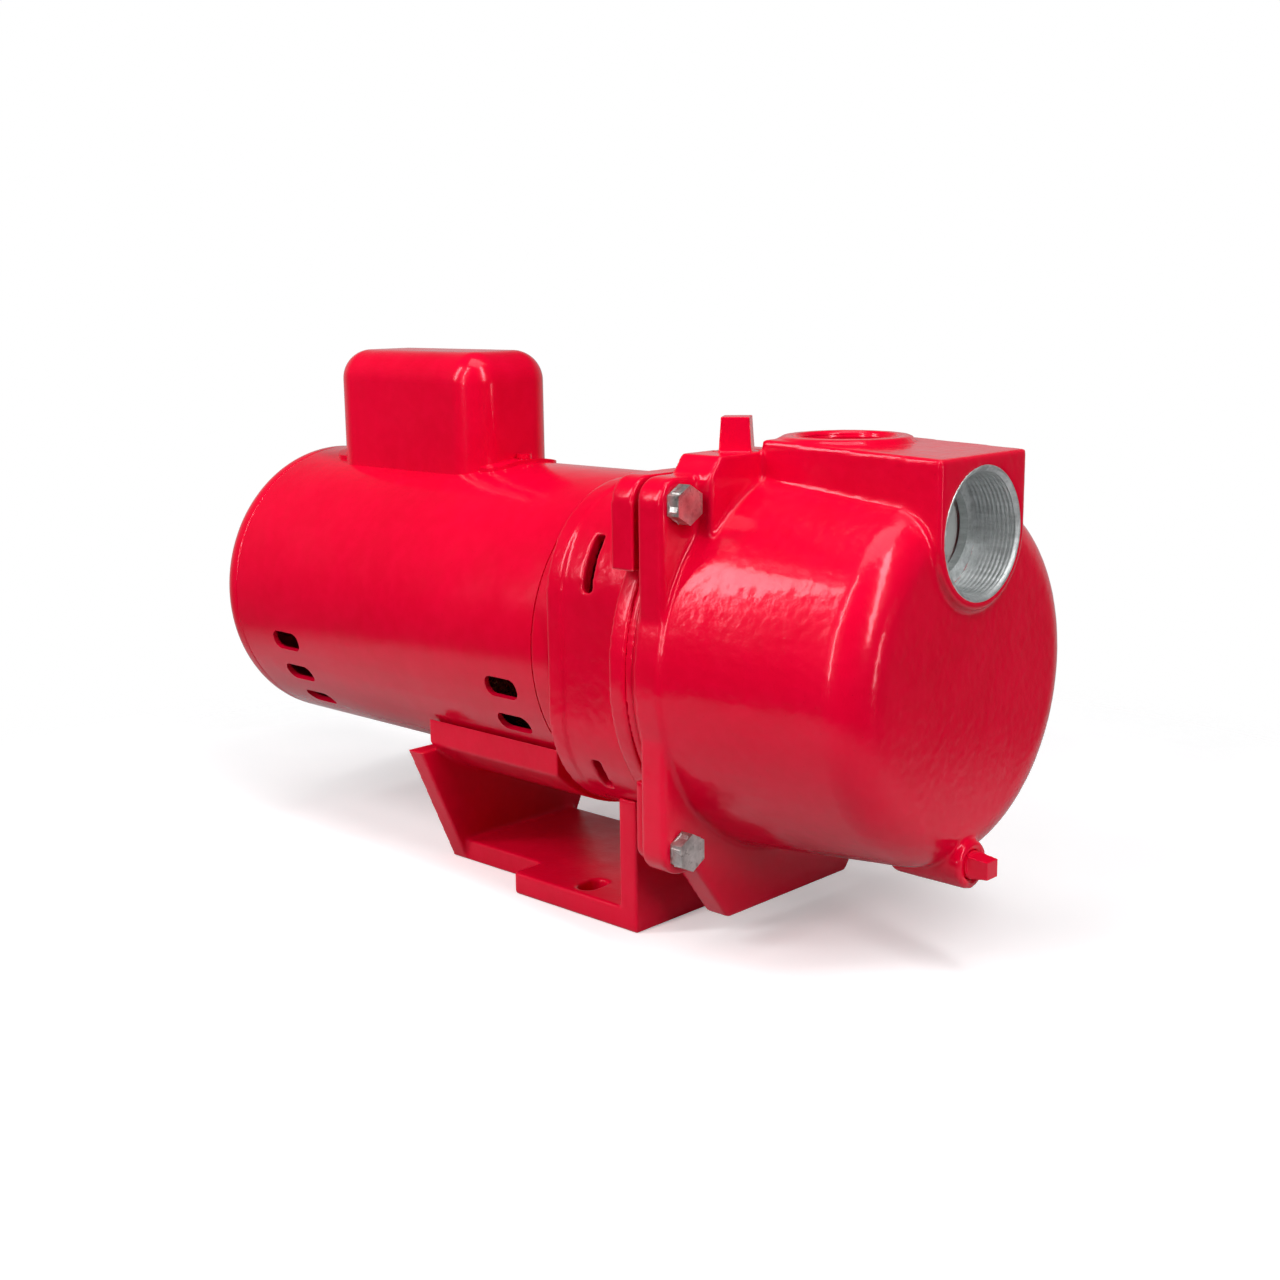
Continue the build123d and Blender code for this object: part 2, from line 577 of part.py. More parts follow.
def diffuser():
    eye_r = IMPELLER_EYE_R + 3.3
    body = ring(PLATE_X1, DIFFUSER_X1, DIFFUSER_R, DIFFUSER_R - DIFFUSER_WALL)
    body += ring(DIFFUSER_X1 - 4, DIFFUSER_X1, DIFFUSER_R, eye_r)
    body += ring(DIFFUSER_X1, DIFFUSER_X1 + 37, 30, 25) + ring(DIFFUSER_X1 - 1, DIFFUSER_X1 + 2, 34, eye_r)
    outlet = block(80, 98, -7, 7, DIFFUSER_R - DIFFUSER_WALL - 2, DIFFUSER_R + 2)
    for cut in around(outlet, 9, 20):
        body -= cut
    for hole in around(rod(PLATE_X1 - 1, DIFFUSER_X1 + 1, 2.1, 0, DIFFUSER_R - 3), 3):
        body -= hole
    return body


def diffuser_screws():
    head = rod(DIFFUSER_X1, DIFFUSER_X1 + 2.5, 3.6, 0, DIFFUSER_R - 3.6)
    screw = head + rod(PLATE_X0, DIFFUSER_X1 + 1, 2.0, 0, DIFFUSER_R - 3)
    return group(around(screw, 3))


def diffuser_oring():
    return ring(135, 139, 32, 30)


def casing_gasket():
    return ring(PLATE_X1, CASING_X0, PLATE_R - 0.5, 86.0)


# ---- pump casing --------------------------------------------------------------------------------
def barrel(wall):
    """The round barrel with its rounded nose, or its hollow when wall is more than zero."""
    x0 = FLANGE_X1 - (20 if wall else 5)
    nose = FRONT_X - wall
    radius = NOSE_FILLET - wall
    start_x, top = nose - radius, BARREL_R1 - wall
    rear_r = BARREL_R0 - wall
    bend = radius * math.sqrt(0.5)
    profile = Polyline((start_x, 0, top), (FLANGE_X1, 0, rear_r), (x0, 0, rear_r), (x0, 0, 0))
    profile += Polyline((x0, 0, 0), (nose, 0, 0), (nose, 0, top - radius))
    profile += ThreePointArc(
        (nose, 0, top - radius),
        (start_x + bend, 0, top - radius + bend),
        (start_x, 0, top),
    )
    return revolve(make_face(profile), axis=Axis.X)


def port_block():
    side = make_face(
        Polyline(
            (BLOCK_X0, 0, 40), (BLOCK_X0, 0, BLOCK_TOP_REAR), (SUCTION_X, 0, BLOCK_TOP_FRONT),
            (SUCTION_X, 0, SUCTION_Z), (FRONT_X - 22, 0, SUCTION_Z), (FRONT_X - 22, 0, 40), close=True,
        )
    )
    body = extrude(side, amount=BLOCK_HALF, dir=(0, 1, 0), both=True)
    return body + rod(FRONT_X - 30, SUCTION_X, BLOCK_HALF, 0, SUCTION_Z)


def pump_casing():
    flange = ring(CASING_X0, FLANGE_X1, FLANGE_R, 60)
    solid = flange + barrel(0.0) + port_block()
    solid += rounded_square(CASING_X0, FLANGE_X1, FLANGE_HALF, LUG_R)
    foot_outline = [(-73, -90), (-47, -124), (47, -124), (73, -90), (60, -60), (-60, -60)]
    solid += slab(CASING_X0, FLANGE_X1, foot_outline)
    solid += post(60, DISCHARGE_Z, 31, DISCHARGE_X)
    pad_outline = [(-70, 60), (-70, 92), (-63, PRIMING_Z), (-14, PRIMING_Z), (-14, 60)]
    solid += slab(CASING_X0, BLOCK_X0 + 1, pad_outline)
    solid += rod(160, DRAIN_X1, 11.5, 0, DRAIN_Z)
    chamber_walls = block(132, SEAT_X + 10, -34, 34, -39, 75) + block(149, SEAT_X + 10, -34, 34, 74, 102)
    chamber_walls += block(123, 140, -34, 34, 32, 75)
    hollow = barrel(CASING_WALL) + rod(CASING_X0 - 1, FLANGE_X1, 86) - chamber_walls
    hollow += post(76, DISCHARGE_Z, DISCHARGE_BORE, DISCHARGE_X)
    hollow += post(DISCHARGE_Z - DISCHARGE_THREAD, DISCHARGE_Z + 1, DISCHARGE_R, DISCHARGE_X)
    chamber = block(142, SEAT_X, -29, 29, -34, 70) + block(153, SEAT_X, -29, 29, 69, 96)
    chamber += block(128, 143, -29, 29, 37, 70)
    solid -= hollow
    solid -= chamber
    solid -= rod(131, 143, 32)
    solid -= rod(SEAT_X - 1, SUCTION_X + 1, SEAT_BORE, 0, SUCTION_Z)
    solid -= rod(SUCTION_X - SUCTION_THREAD, SUCTION_X + 1, SUCTION_R, 0, SUCTION_Z)
    solid -= post(60, PRIMING_Z + 1, PRIMING_R, PRIMING_X, PRIMING_Y)
    solid -= rod(150, DRAIN_X1 + 1, DRAIN_R, 0, DRAIN_Z)
    for y, z in corners(BOLT_OFFSET):
        solid -= rod(60, FLANGE_X1 + 1, BOLT_R + 0.35, y, z)
    return solid


def casing_bolts():
    bolts = []
    for y, z in corners(BOLT_OFFSET):
        head = hex_prism(FLANGE_X1, FLANGE_X1 + 7, 15.9, y, z)
        shank_x0 = FLANGE_X0 + 1 if z > 0 else PLATE_X0
        bolts.append(head + rod(shank_x0, FLANGE_X1 + 1, BOLT_R, y, z))
    return group(bolts)


# ---- check valve and plugs ----------------------------------------------------------------------
def flap_disc():
    disc = rod(FLAP_PIN_X - DISC_T / 2, FLAP_PIN_X + DISC_T / 2, DISC_R, 0, SUCTION_Z)
    tab = cross_pin(-10, 10, 2.6, FLAP_PIN_X, FLAP_PIN_Z)
    return disc + tab - cross_pin(-30, 30, 1.56, FLAP_PIN_X, FLAP_PIN_Z)


def flap_weight():
    back = FLAP_PIN_X - DISC_T / 2
    return rod(back - FLAP_WEIGHT_T, back, FLAP_WEIGHT_R, 0, SUCTION_Z)


def flap_pin():
    return cross_pin(-29, 29, 1.5, FLAP_PIN_X, FLAP_PIN_Z)


def square_plug(thread_r, thread_length, flats, head_length):
    """A pipe plug that points up: its thread below z = 0 and a tapered square head above."""
    thread = Pos(0, 0, -thread_length) * Cylinder(thread_r - 0.06, thread_length, align=LOW)
    head = loft([Rectangle(flats + 1, flats + 1), Pos(0, 0, head_length) * Rectangle(flats - 1, flats - 1)])
    return thread + head


def priming_plug():
    plug = square_plug(PRIMING_R, PRIMING_THREAD, 14.3, 16)
    return Pos(PRIMING_X, PRIMING_Y, PRIMING_Z) * Rot(0, 0, PLUG_TURN) * plug


def drain_plug():
    return Pos(DRAIN_X1, 0, DRAIN_Z) * Rot(0, 90, 0) * square_plug(DRAIN_R, 12, 9.5, 10)


# ---- write every piece --------------------------------------------------------------------------
SIMPLE_PARTS = (
    base_stand, motor_pad, stand_screws, mounting_adapter, face_screws,
    motor_shell, rear_end_shield, front_end_shield, thru_bolts, shaft_cap,
    terminal_cover, terminal_cover_screws, terminal_board, terminal_studs,
    stator_core, stator_windings, rotor_core, rotor_cage, motor_shaft,
    governor_hub, governor_pins, governor_spool, switch_plate, switch_lever,
    capacitor_cover, cover_screws, start_capacitor, capacitor_terminals, capacitor_clip,
    slinger, seal_plate, seal_seat, seal_head, seal_spring, impeller,
    diffuser, diffuser_screws, diffuser_oring, casing_gasket, pump_casing, casing_bolts,
    flap_disc, flap_weight, flap_pin, priming_plug, drain_plug,
)

for make in SIMPLE_PARTS:
    save(make(), make.__name__)

save(cross_pin(-9, 9, PIN_R, LEVER_PIN_X, LEVER_PIN_Z), "switch_pin")
save(governor_weight(1), "governor_weight_upper")
save(governor_weight(-1), "governor_weight_lower")

for place, bearing_x in (("front", FRONT_BEARING_X), ("rear", REAR_BEARING_X)):
    save(bearing_outer(bearing_x), f"{place}_bearing_outer")
    save(bearing_inner(bearing_x), f"{place}_bearing_inner")
    save(bearing_balls(bearing_x), f"{place}_bearing_balls")
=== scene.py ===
"""Looks of the red self-priming pump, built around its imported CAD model. Metres, floor at z = 0."""

import json
import math

import bmesh
import bpy
import numpy as np
from mathutils import Matrix, Vector

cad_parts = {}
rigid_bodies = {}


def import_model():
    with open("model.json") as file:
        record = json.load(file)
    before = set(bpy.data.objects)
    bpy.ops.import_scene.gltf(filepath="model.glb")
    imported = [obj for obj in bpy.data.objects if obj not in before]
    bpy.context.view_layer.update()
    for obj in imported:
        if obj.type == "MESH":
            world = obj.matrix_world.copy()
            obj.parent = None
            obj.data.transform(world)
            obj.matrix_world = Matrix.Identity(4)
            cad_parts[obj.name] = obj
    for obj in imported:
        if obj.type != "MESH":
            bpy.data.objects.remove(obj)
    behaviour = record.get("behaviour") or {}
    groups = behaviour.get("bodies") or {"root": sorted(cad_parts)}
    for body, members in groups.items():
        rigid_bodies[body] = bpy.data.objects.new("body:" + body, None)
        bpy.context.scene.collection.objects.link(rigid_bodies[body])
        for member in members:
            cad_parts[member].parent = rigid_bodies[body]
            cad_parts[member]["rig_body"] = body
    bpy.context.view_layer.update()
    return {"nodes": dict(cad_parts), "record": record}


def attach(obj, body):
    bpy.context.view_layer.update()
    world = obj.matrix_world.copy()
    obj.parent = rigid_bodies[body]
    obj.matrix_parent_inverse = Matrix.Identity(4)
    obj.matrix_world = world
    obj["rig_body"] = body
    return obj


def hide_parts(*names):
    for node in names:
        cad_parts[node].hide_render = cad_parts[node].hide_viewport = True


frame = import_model()
nodes = frame["nodes"]
record = frame["record"]

MM = 0.001
SHAFT_Z = 0.140            # height of the shaft above the floor
PAINT = (0.79, 0.0002, 0.030)
PAINT_DEEP = (0.69, 0.0001, 0.023)
PAINT_PALE = (0.87, 0.002, 0.044)
# pale pink for sharp edges: partly worn paint, partly a painted highlight on rounded edges
PAINT_WEAR_AND_HIGHLIGHT = (0.90, 0.20, 0.22)
PAINT_SPECK = (0.42, 0.0, 0.01)
SUCTION_FACE_X = 0.2007    # front of the suction boss
DISCHARGE_FACE_Z = 0.248   # top of the discharge boss
HEAD_X = 0.0930            # where the casing bolts' heads sit
BOLT_OFFSET = 0.081        # they stand on a 162 mm square about the shaft
LIT_POINT = Vector((0.05, 0, 0.14))


# ---- node helpers -------------------------------------------------------------------------------
class Net:
    """A material's node tree, with short calls for the nodes that the finishes share."""

    def __init__(self, name):
        self.material = bpy.data.materials.new(name)
        self.material.use_nodes = True
        self.tree = self.material.node_tree
        self.shader = self.tree.nodes["Principled BSDF"]
        self.place = self.add("ShaderNodeTexCoord").outputs["Object"]

    def add(self, kind, **values):
        node = self.tree.nodes.new(kind)
        for key, value in values.items():
            setattr(node, key, value)
        return node

    def link(self, source, target):
        self.tree.links.new(source, target)

    def set(self, **values):
        for key, value in values.items():
            self.shader.inputs[key.replace("_", " ")].default_value = value

    def noise(self, scale, detail=4.0, rough=0.55, stretch=(1, 1, 1), distortion=0.0):
        mapping = self.add("ShaderNodeMapping")
        mapping.inputs["Scale"].default_value = stretch
        self.link(self.place, mapping.inputs["Vector"])
        node = self.add("ShaderNodeTexNoise")
        node.inputs["Scale"].default_value = scale
        node.inputs["Detail"].default_value = detail
        node.inputs["Roughness"].default_value = rough
        node.inputs["Distortion"].default_value = distortion
        self.link(mapping.outputs["Vector"], node.inputs["Vector"])
        return node.outputs["Fac"]

    def cells(self, scale, stretch=(1, 1, 1)):
        mapping = self.add("ShaderNodeMapping")
        mapping.inputs["Scale"].default_value = stretch
        self.link(self.place, mapping.inputs["Vector"])
        node = self.add("ShaderNodeTexVoronoi")
        node.inputs["Scale"].default_value = scale
        self.link(mapping.outputs["Vector"], node.inputs["Vector"])
        return node.outputs["Distance"]

    def ramp(self, source, low, high, dark=0.0, light=1.0):
        node = self.add("ShaderNodeMapRange", interpolation_type="SMOOTHSTEP")
        node.inputs["From Min"].default_value = low
        node.inputs["From Max"].default_value = high
        node.inputs["To Min"].default_value = dark
        node.inputs["To Max"].default_value = light
        self.link(source, node.inputs["Value"])
        return node.outputs["Result"]

    def mix(self, factor, first, second):
        node = self.add("ShaderNodeMix", data_type="RGBA")
        if isinstance(factor, float):
            node.inputs[0].default_value = factor
        else:
            self.link(factor, node.inputs[0])
        for value, socket in ((first, node.inputs[6]), (second, node.inputs[7])):
            if isinstance(value, tuple):
                socket.default_value = (*value, 1.0)
            else:
                self.link(value, socket)
        return node.outputs[2]

    def maths(self, kind, first, second):
        node = self.add("ShaderNodeMath", operation=kind)
        for value, socket in ((first, node.inputs[0]), (second, node.inputs[1])):
            if isinstance(value, (int, float)):
                socket.default_value = value
            else:
                self.link(value, socket)
        return node.outputs[0]

    def edges(self, low, high):
        """1 on sharp outer edges, from the mesh's own curvature: where worn paint and a painted edge
        highlight go.
        """
        return self.ramp(self.add("ShaderNodeNewGeometry").outputs["Pointiness"], low, high)

    def bump(self, *layers):
        """Layers are (height, depth in metres)."""
        normal = None
        for height, depth in layers:
            node = self.add("ShaderNodeBump")
            node.inputs["Strength"].default_value = 1.0
            node.inputs["Distance"].default_value = depth
            self.link(height, node.inputs["Height"])
            if normal is not None:
                self.link(normal, node.inputs["Normal"])
            normal = node.outputs["Normal"]
        self.link(normal, self.shader.inputs["Normal"])

    def finish(self, colour, roughness):
        self.link(colour, self.shader.inputs["Base Color"])
        self.link(roughness, self.shader.inputs["Roughness"])
        return self.material


# ---- finishes -----------------------------------------------------------------------------------
def paint(name, grain, grain_depth, rough_low, rough_high, edge_wear_and_highlight, gloss=0.16):
    """Glossy red enamel: cloudy tone, sprayed orange peel, dust in the tone, and pale pink sharp edges that
    are partly worn paint and partly a painted highlight.
    """
    net = Net(name)
    cloud = net.ramp(net.noise(9, 5, 0.6), 0.30, 0.72)
    fine = net.ramp(net.noise(130, 3), 0.35, 0.75)
    colour = net.mix(cloud, PAINT_DEEP, PAINT)
    colour = net.mix(net.maths("MULTIPLY", fine, 0.22), colour, PAINT_PALE)
    speck = net.ramp(net.noise(900, 2, 0.4), 0.70, 0.78, 0.0, 0.35)
    colour = net.mix(speck, colour, PAINT_SPECK)
    # pale pink on sharp edges in patches: partly paint wear, partly a painted highlight along the rounded
    # edges
    if edge_wear_and_highlight:
        wear_and_highlight_patch = net.ramp(net.noise(60, 6, 0.7), 0.45, 0.62, 0.0, edge_wear_and_highlight)
        colour = net.mix(net.maths("MULTIPLY", net.edges(0.53, 0.62), wear_and_highlight_patch), colour, PAINT_WEAR_AND_HIGHLIGHT)
    peel = net.noise(grain, 3, 0.5)
    fine_peel = net.noise(grain * 4.2, 2, 0.5)
    net.bump((peel, grain_depth), (fine_peel, grain_depth * 0.22), (net.noise(38, 2), 0.0004))
    net.set(IOR=1.50, Specular_IOR_Level=0.42, Specular_Tint=(1.0, 0.34, 0.42, 1.0))
    net.set(Coat_Weight=gloss, Coat_Roughness=0.06, Coat_IOR=1.5)
    return net.finish(colour, net.ramp(net.noise(26, 5, 0.65), 0.30, 0.75, rough_low, rough_high))


def metal(name, dark, light, rough_low, rough_high, brushed=(1, 1, 1), grain=500, depth=0.00003, stain=0.4):
    net = Net(name)
    tone = net.ramp(net.noise(grain * 0.25, 5, 0.65, brushed), 0.30, 0.70)
    colour = net.mix(tone, dark, light)
    blotch = net.ramp(net.noise(grain * 0.5, 5, 0.7, (1, 1, 1), 0.6), 0.52, 0.66, 0.0, stain)
    colour = net.mix(blotch, colour, tuple(v * 0.42 for v in dark))
    net.bump((net.noise(grain, 4, 0.6, brushed), depth))
    net.set(Metallic=0.9)
    polish = net.noise(grain * 0.3, 4, 0.6, brushed)
    return net.finish(colour, net.ramp(polish, 0.25, 0.75, rough_low, rough_high))


def plain(name, dark, light, rough_low, rough_high, grain=300, depth=0.00004, specular=0.4):
    net = Net(name)
    colour = net.mix(net.ramp(net.noise(grain * 0.12, 5, 0.6), 0.30, 0.72), dark, light)
    net.bump((net.noise(grain, 4, 0.55), depth), (net.cells(grain * 1.7), depth * 0.4))
    net.set(Specular_IOR_Level=specular)
    return net.finish(colour, net.ramp(net.noise(grain * 0.4, 4, 0.6), 0.25, 0.75, rough_low, rough_high))


red_cast = paint("red_enamel_on_cast_iron", 260, 0.00015, 0.15, 0.25, 0.75)
red_sheet = paint("red_enamel_on_sheet_steel", 520, 0.00005, 0.15, 0.24, 0.0)
red_stand = paint("red_enamel_on_stand", 340, 0.00010, 0.30, 0.44, 0.60, 0.06)
zinc = metal(
    "zinc_plated_bolt", (0.30, 0.28, 0.27), (0.62, 0.60, 0.58),
    0.28, 0.55, grain=420, depth=0.00006, stain=0.55,
)
machined = metal(
    "machined_iron", (0.46, 0.48, 0.48), (0.70, 0.72, 0.72),
    0.46, 0.66, (0.2, 1, 1), 700, 0.00005, 0.25,
)
steel = metal(
    "ground_steel", (0.36, 0.36, 0.37), (0.58, 0.58, 0.59),
    0.22, 0.40, (1, 1, 0.25), 900, 0.00001, 0.15,
)
bearing = metal(
    "bearing_steel", (0.50, 0.50, 0.51), (0.68, 0.68, 0.69),
    0.10, 0.22, (1, 1, 1), 700, 0.000005, 0.05,
)
lamination = metal(
    "stacked_laminations", (0.10, 0.10, 0.11), (0.22, 0.22, 0.24),
    0.45, 0.65, (12, 1, 1), 500, 0.00008, 0.35,
)
copper = metal(
    "enamelled_copper", (0.42, 0.13, 0.05), (0.70, 0.28, 0.12),
    0.22, 0.40, (0.4, 3, 3), 800, 0.00012, 0.25,
)
brass = metal("brass", (0.45, 0.30, 0.10), (0.70, 0.52, 0.24), 0.24, 0.42, (1, 1, 1), 500, 0.00002, 0.25)
aluminium = metal(
    "cast_aluminium", (0.42, 0.42, 0.43), (0.66, 0.66, 0.67),
    0.35, 0.55, (1, 1, 1), 400, 0.00008, 0.25,
)
rubber = plain("black_rubber", (0.010, 0.010, 0.011), (0.028, 0.027, 0.027), 0.55, 0.75, 420, 0.00008)
flap_rubber = plain("grey_flap_rubber", (0.42, 0.45, 0.44), (0.58, 0.60, 0.59), 0.45, 0.65, 360, 0.00008)
black = plain(
    "black_moulded_plastic", (0.012, 0.012, 0.013), (0.030, 0.030, 0.032),
    0.35, 0.55, 380, 0.00004,
)
plastic = plain(
    "grey_impeller_plastic", (0.06, 0.06, 0.065), (0.12, 0.12, 0.125),
    0.30, 0.50, 300, 0.00004,
)
ceramic = plain("seal_ceramic", (0.70, 0.68, 0.62), (0.85, 0.83, 0.78), 0.12, 0.24, 500, 0.00001)
carbon = plain("seal_carbon", (0.020, 0.020, 0.022), (0.060, 0.060, 0.062), 0.30, 0.50, 500, 0.00002)
board = plain("laminate_board", (0.30, 0.17, 0.08), (0.48, 0.31, 0.17), 0.40, 0.60, 300, 0.00005)

FINISH = {
    "red_paint": red_sheet, "bolt_zinc": zinc, "steel": steel, "bearing_steel": bearing,
    "lamination": lamination, "copper": copper, "brass": brass, "aluminium": aluminium,
    "rubber": rubber, "black_plastic": black, "impeller_plastic": plastic,
    "seal_ceramic": ceramic, "seal_carbon": carbon, "board": board,
}
OWN_FINISH = {
    "flap_disc": flap_rubber, "flap_weight": flap_rubber, "seal_plate": red_cast,
    "casing_gasket": red_sheet, "stand_screws": red_stand,
}
slot_of = {part["node"]: part["material_slot"] for part in record["subparts"]}
for node_name, node in nodes.items():
    finish = OWN_FINISH.get(node_name, FINISH[slot_of[node_name]])
    node.data.materials.clear()
    node.data.materials.append(finish)


# ---- mesh helpers -------------------------------------------------------------------------------
def new_object(name, mesh, finish, body, smooth=True):
    if smooth:
        mesh.shade_smooth()
    piece = bpy.data.objects.new(name, mesh)
    bpy.context.scene.collection.objects.link(piece)
    piece.data.materials.append(finish)
    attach(piece, body)
    return piece


def applied(piece):
    """The piece's mesh with its modifiers in it."""
    bpy.context.view_layer.update()
    graph = bpy.context.evaluated_depsgraph_get()
    mesh = bpy.data.meshes.new_from_object(piece.evaluated_get(graph))
    piece.modifiers.clear()
    piece.data = mesh
    return piece


def clouds(name, size):
    texture = bpy.data.textures.new(name, "CLOUDS")
    texture.noise_scale = size
    texture.noise_depth = 1
    return texture


def cast_copy(node_name, finish, voxel, rounds, lump=0.0, lump_size=0.006):
    """A casting in place of its sharp CAD solid: rounded edges, filleted corners and an uneven skin."""
    source = nodes[node_name]
    mesh = source.data.copy()
    mesh.materials.clear()
    piece = new_object("cast_" + node_name, mesh, finish, source["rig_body"])
    remesh = piece.modifiers.new("remesh", "REMESH")
    remesh.mode = "VOXEL"
    remesh.voxel_size = voxel
    remesh.use_smooth_shade = True
    smooth = piece.modifiers.new("smooth", "SMOOTH")
    smooth.factor = 0.5
    smooth.iterations = rounds
    if lump:
        displace = piece.modifiers.new("lump", "DISPLACE")
        displace.texture = clouds("skin_" + node_name, lump_size)
        displace.texture_coords = "GLOBAL"
        displace.strength = lump
        displace.mid_level = 0.5
    applied(piece)
    piece.data.materials.clear()
    piece.data.materials.append(finish)
    piece.data.shade_smooth()
    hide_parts(node_name)


def grid_mesh(name, rows, close_rows=False):
    """A mesh skinned over equal rows of points, each row a closed loop."""
    count = len(rows[0])
    points = [p for row in rows for p in row]
    faces = []
    steps = len(rows) if close_rows else len(rows) - 1
    for i in range(steps):
        a, b = i * count, (i + 1) % len(rows) * count
        for j in range(count):
            k = (j + 1) % count
            faces.append((a + j, a + k, b + k, b + j))
    if not close_rows:
        faces.append(tuple(range(count))[::-1])
        last = (len(rows) - 1) * count
        faces.append(tuple(last + j for j in range(count)))
    mesh = bpy.data.meshes.new(name)
    mesh.from_pydata(points, [], faces)
    tidy_mesh(mesh)
    return mesh


def tidy_mesh(mesh):
    work = bmesh.new()
    work.from_mesh(mesh)
    bmesh.ops.recalc_face_normals(work, faces=work.faces)
    work.to_mesh(mesh)
    work.free()


def place_frame(origin, axis, spin=0.0):
    """Turns local +Z to axis, and moves to origin."""
    turn = Vector(axis).to_track_quat("Z", "Y").to_matrix().to_4x4()
    return Matrix.Translation(Vector(origin)) @ turn @ Matrix.Rotation(math.radians(spin), 4, "Z")


def sharp_shade(mesh, angle=32):
    """Smooth shading that breaks at sharp edges."""
    work = bmesh.new()
    work.from_mesh(mesh)
    limit = math.radians(angle)
    for edge in work.edges:
        edge.smooth = edge.calc_face_angle(0.0) < limit
    for face in work.faces:
        face.smooth = True
    work.to_mesh(mesh)
    work.free()


# ---- castings -----------------------------------------------------------------------------------
cast_copy("pump_casing", red_cast, 1.15 * MM, 9, 0.13 * MM, 0.0042)
cast_copy("mounting_adapter", red_cast, 1.0 * MM, 6, 0.16 * MM, 0.0045)
cast_copy("base_stand", red_stand, 1.0 * MM, 6, 0.08 * MM, 0.008)
cast_copy("rear_end_shield", red_sheet, 0.9 * MM, 3)
cast_copy("front_end_shield", red_sheet, 0.9 * MM, 3)
cast_copy("seal_plate", red_cast, 0.9 * MM, 2, 0.05 * MM, 0.004)
cast_copy("priming_plug", red_cast, 0.45 * MM, 4, 0.10 * MM, 0.003)
cast_copy("drain_plug", red_cast, 0.35 * MM, 4, 0.08 * MM, 0.003)


# ---- threads in the ports -----------------------------------------------------------------------
def thread_sleeve(name, mouth, axis, crest_r, depth, outer_r, finish, seat_r, liner):
    """A machined pipe thread: a helical ridge in a sleeve that starts at the port's face and goes inwards."""
    turns, per_turn, height, pitch, chamfer = 144, 8, 0.34, 2.21, 1.6
    rows = []
    for i in range(int(depth / pitch * per_turn) + 1):
        down = i * pitch / per_turn
        row = []
        for j in range(turns):
            share = j / turns
            phase = (down / pitch - share) % 1.0
            ridge = 1 - abs(2 * phase - 1)
            radius = crest_r + height * (1 - min(1.0, ridge * 1.25)) - down / 32
            fade = max(0.0, 1 - down / chamfer)
            radius += fade * (chamfer - 0.2)
            angle = share * math.tau
            row.append(Vector((radius * math.cos(angle), radius * math.sin(angle), -down)))
        rows.append(row)
    end = rows[-1][0].z

    def ring(r, z):
        angles = [j / turns * math.tau for j in range(turns)]
        return [Vector((r * math.cos(a), r * math.sin(a), z)) for a in angles]

    rows += [ring(seat_r, end), ring(seat_r, end - liner), ring(seat_r + 0.25, end - liner)]
    rows += [ring(seat_r + 0.25, end - 0.5), ring(outer_r, end - 0.5)]
    rows.append(ring(outer_r, -0.35))
    rows.append(ring(outer_r - 0.35, 0.0))
    mesh = grid_mesh(name, rows, close_rows=True)
    mesh.transform(place_frame(mouth, axis) @ Matrix.Scale(MM, 4))
    tidy_mesh(mesh)
    piece = new_object(name, mesh, finish, "frame")
    sharp_shade(piece.data, 40)


suction = next(m for m in record["mounts"] if m["name"] == "suction_port")
discharge = next(m for m in record["mounts"] if m["name"] == "discharge_port")
suction_face = Vector((SUCTION_FACE_X, 0, suction["pos_m"][2]))
discharge_face = Vector((discharge["pos_m"][0], 0, DISCHARGE_FACE_Z))
thread_sleeve("suction_thread", suction_face, (1, 0, 0), 27.9, 21.6, 30.6, machined, 20.6, 4.4)
thread_sleeve("discharge_thread", discharge_face, (0, 0, 1), 22.4, 19.6, 24.8, red_cast, 20.2, 3.0)


# ---- fasteners ----------------------------------------------------------------------------------
def hex_head(across, height, washer_r, washer_t):
    """A forged, flanged hexagon head with its top chamfered round, from z = 0 up. Millimetres."""
    count = 96
    half = across / 2
    top_r = half * 0.93
    dish = 0.35

    def hexagon(angle):
        return half / math.cos((angle + math.pi / 6) % (math.pi / 3) - math.pi / 6)

    def loop(radius, level):
        row = []
        for j in range(count):
            angle = j / count * math.tau
            r = radius(angle) if callable(radius) else radius
            z = level(angle) if callable(level) else level
            row.append(Vector((r * math.cos(angle), r * math.sin(angle), z)))
        return row

    def crown(angle):
        return height - (hexagon(angle) - top_r) * math.tan(math.radians(28))

    rows = [loop(0.4, 0.0), loop(washer_r - 0.3, 0.0), loop(washer_r, 0.3)]
    rows += [loop(washer_r, washer_t - 0.3), loop(washer_r - 0.4, washer_t)]
    rows += [loop(lambda a: hexagon(a) + 0.35, washer_t + 0.12), loop(hexagon, washer_t + 0.6)]
    rows += [loop(hexagon, lambda a: crown(a) - 0.35), loop(lambda a: hexagon(a) - 0.12, crown)]
    rows += [loop(top_r, height), loop(top_r - 1.0, height - 0.05), loop(top_r * 0.72, height - dish)]
    rows += [loop(0.4, height - dish)]
    return rows


def bolt_set(name, spots, axis, rows_of, finish, body, spins):
    """Heads joined in one piece."""
    work = bmesh.new()
    for spot, spin in zip(spots, spins):
        part = grid_mesh(name + "_part", rows_of)
        part.transform(place_frame(spot, axis, spin) @ Matrix.Scale(MM, 4))
        work.from_mesh(part)
    mesh = bpy.data.meshes.new(name)
    work.to_mesh(mesh)
    work.free()
    tidy_mesh(mesh)
    piece = new_object(name, mesh, finish, body)
    sharp_shade(piece.data, 24)


bolt_spots = [
    (HEAD_X, side * BOLT_OFFSET, SHAFT_Z + level * BOLT_OFFSET) for side in (-1, 1) for level in (-1, 1)
]
bolt_set(
    "casing_bolt_heads", bolt_spots, (1, 0, 0), hex_head(15.4, 6.9, 8.3, 1.3),
    zinc, "frame", (12, 47, 33, 5),
)


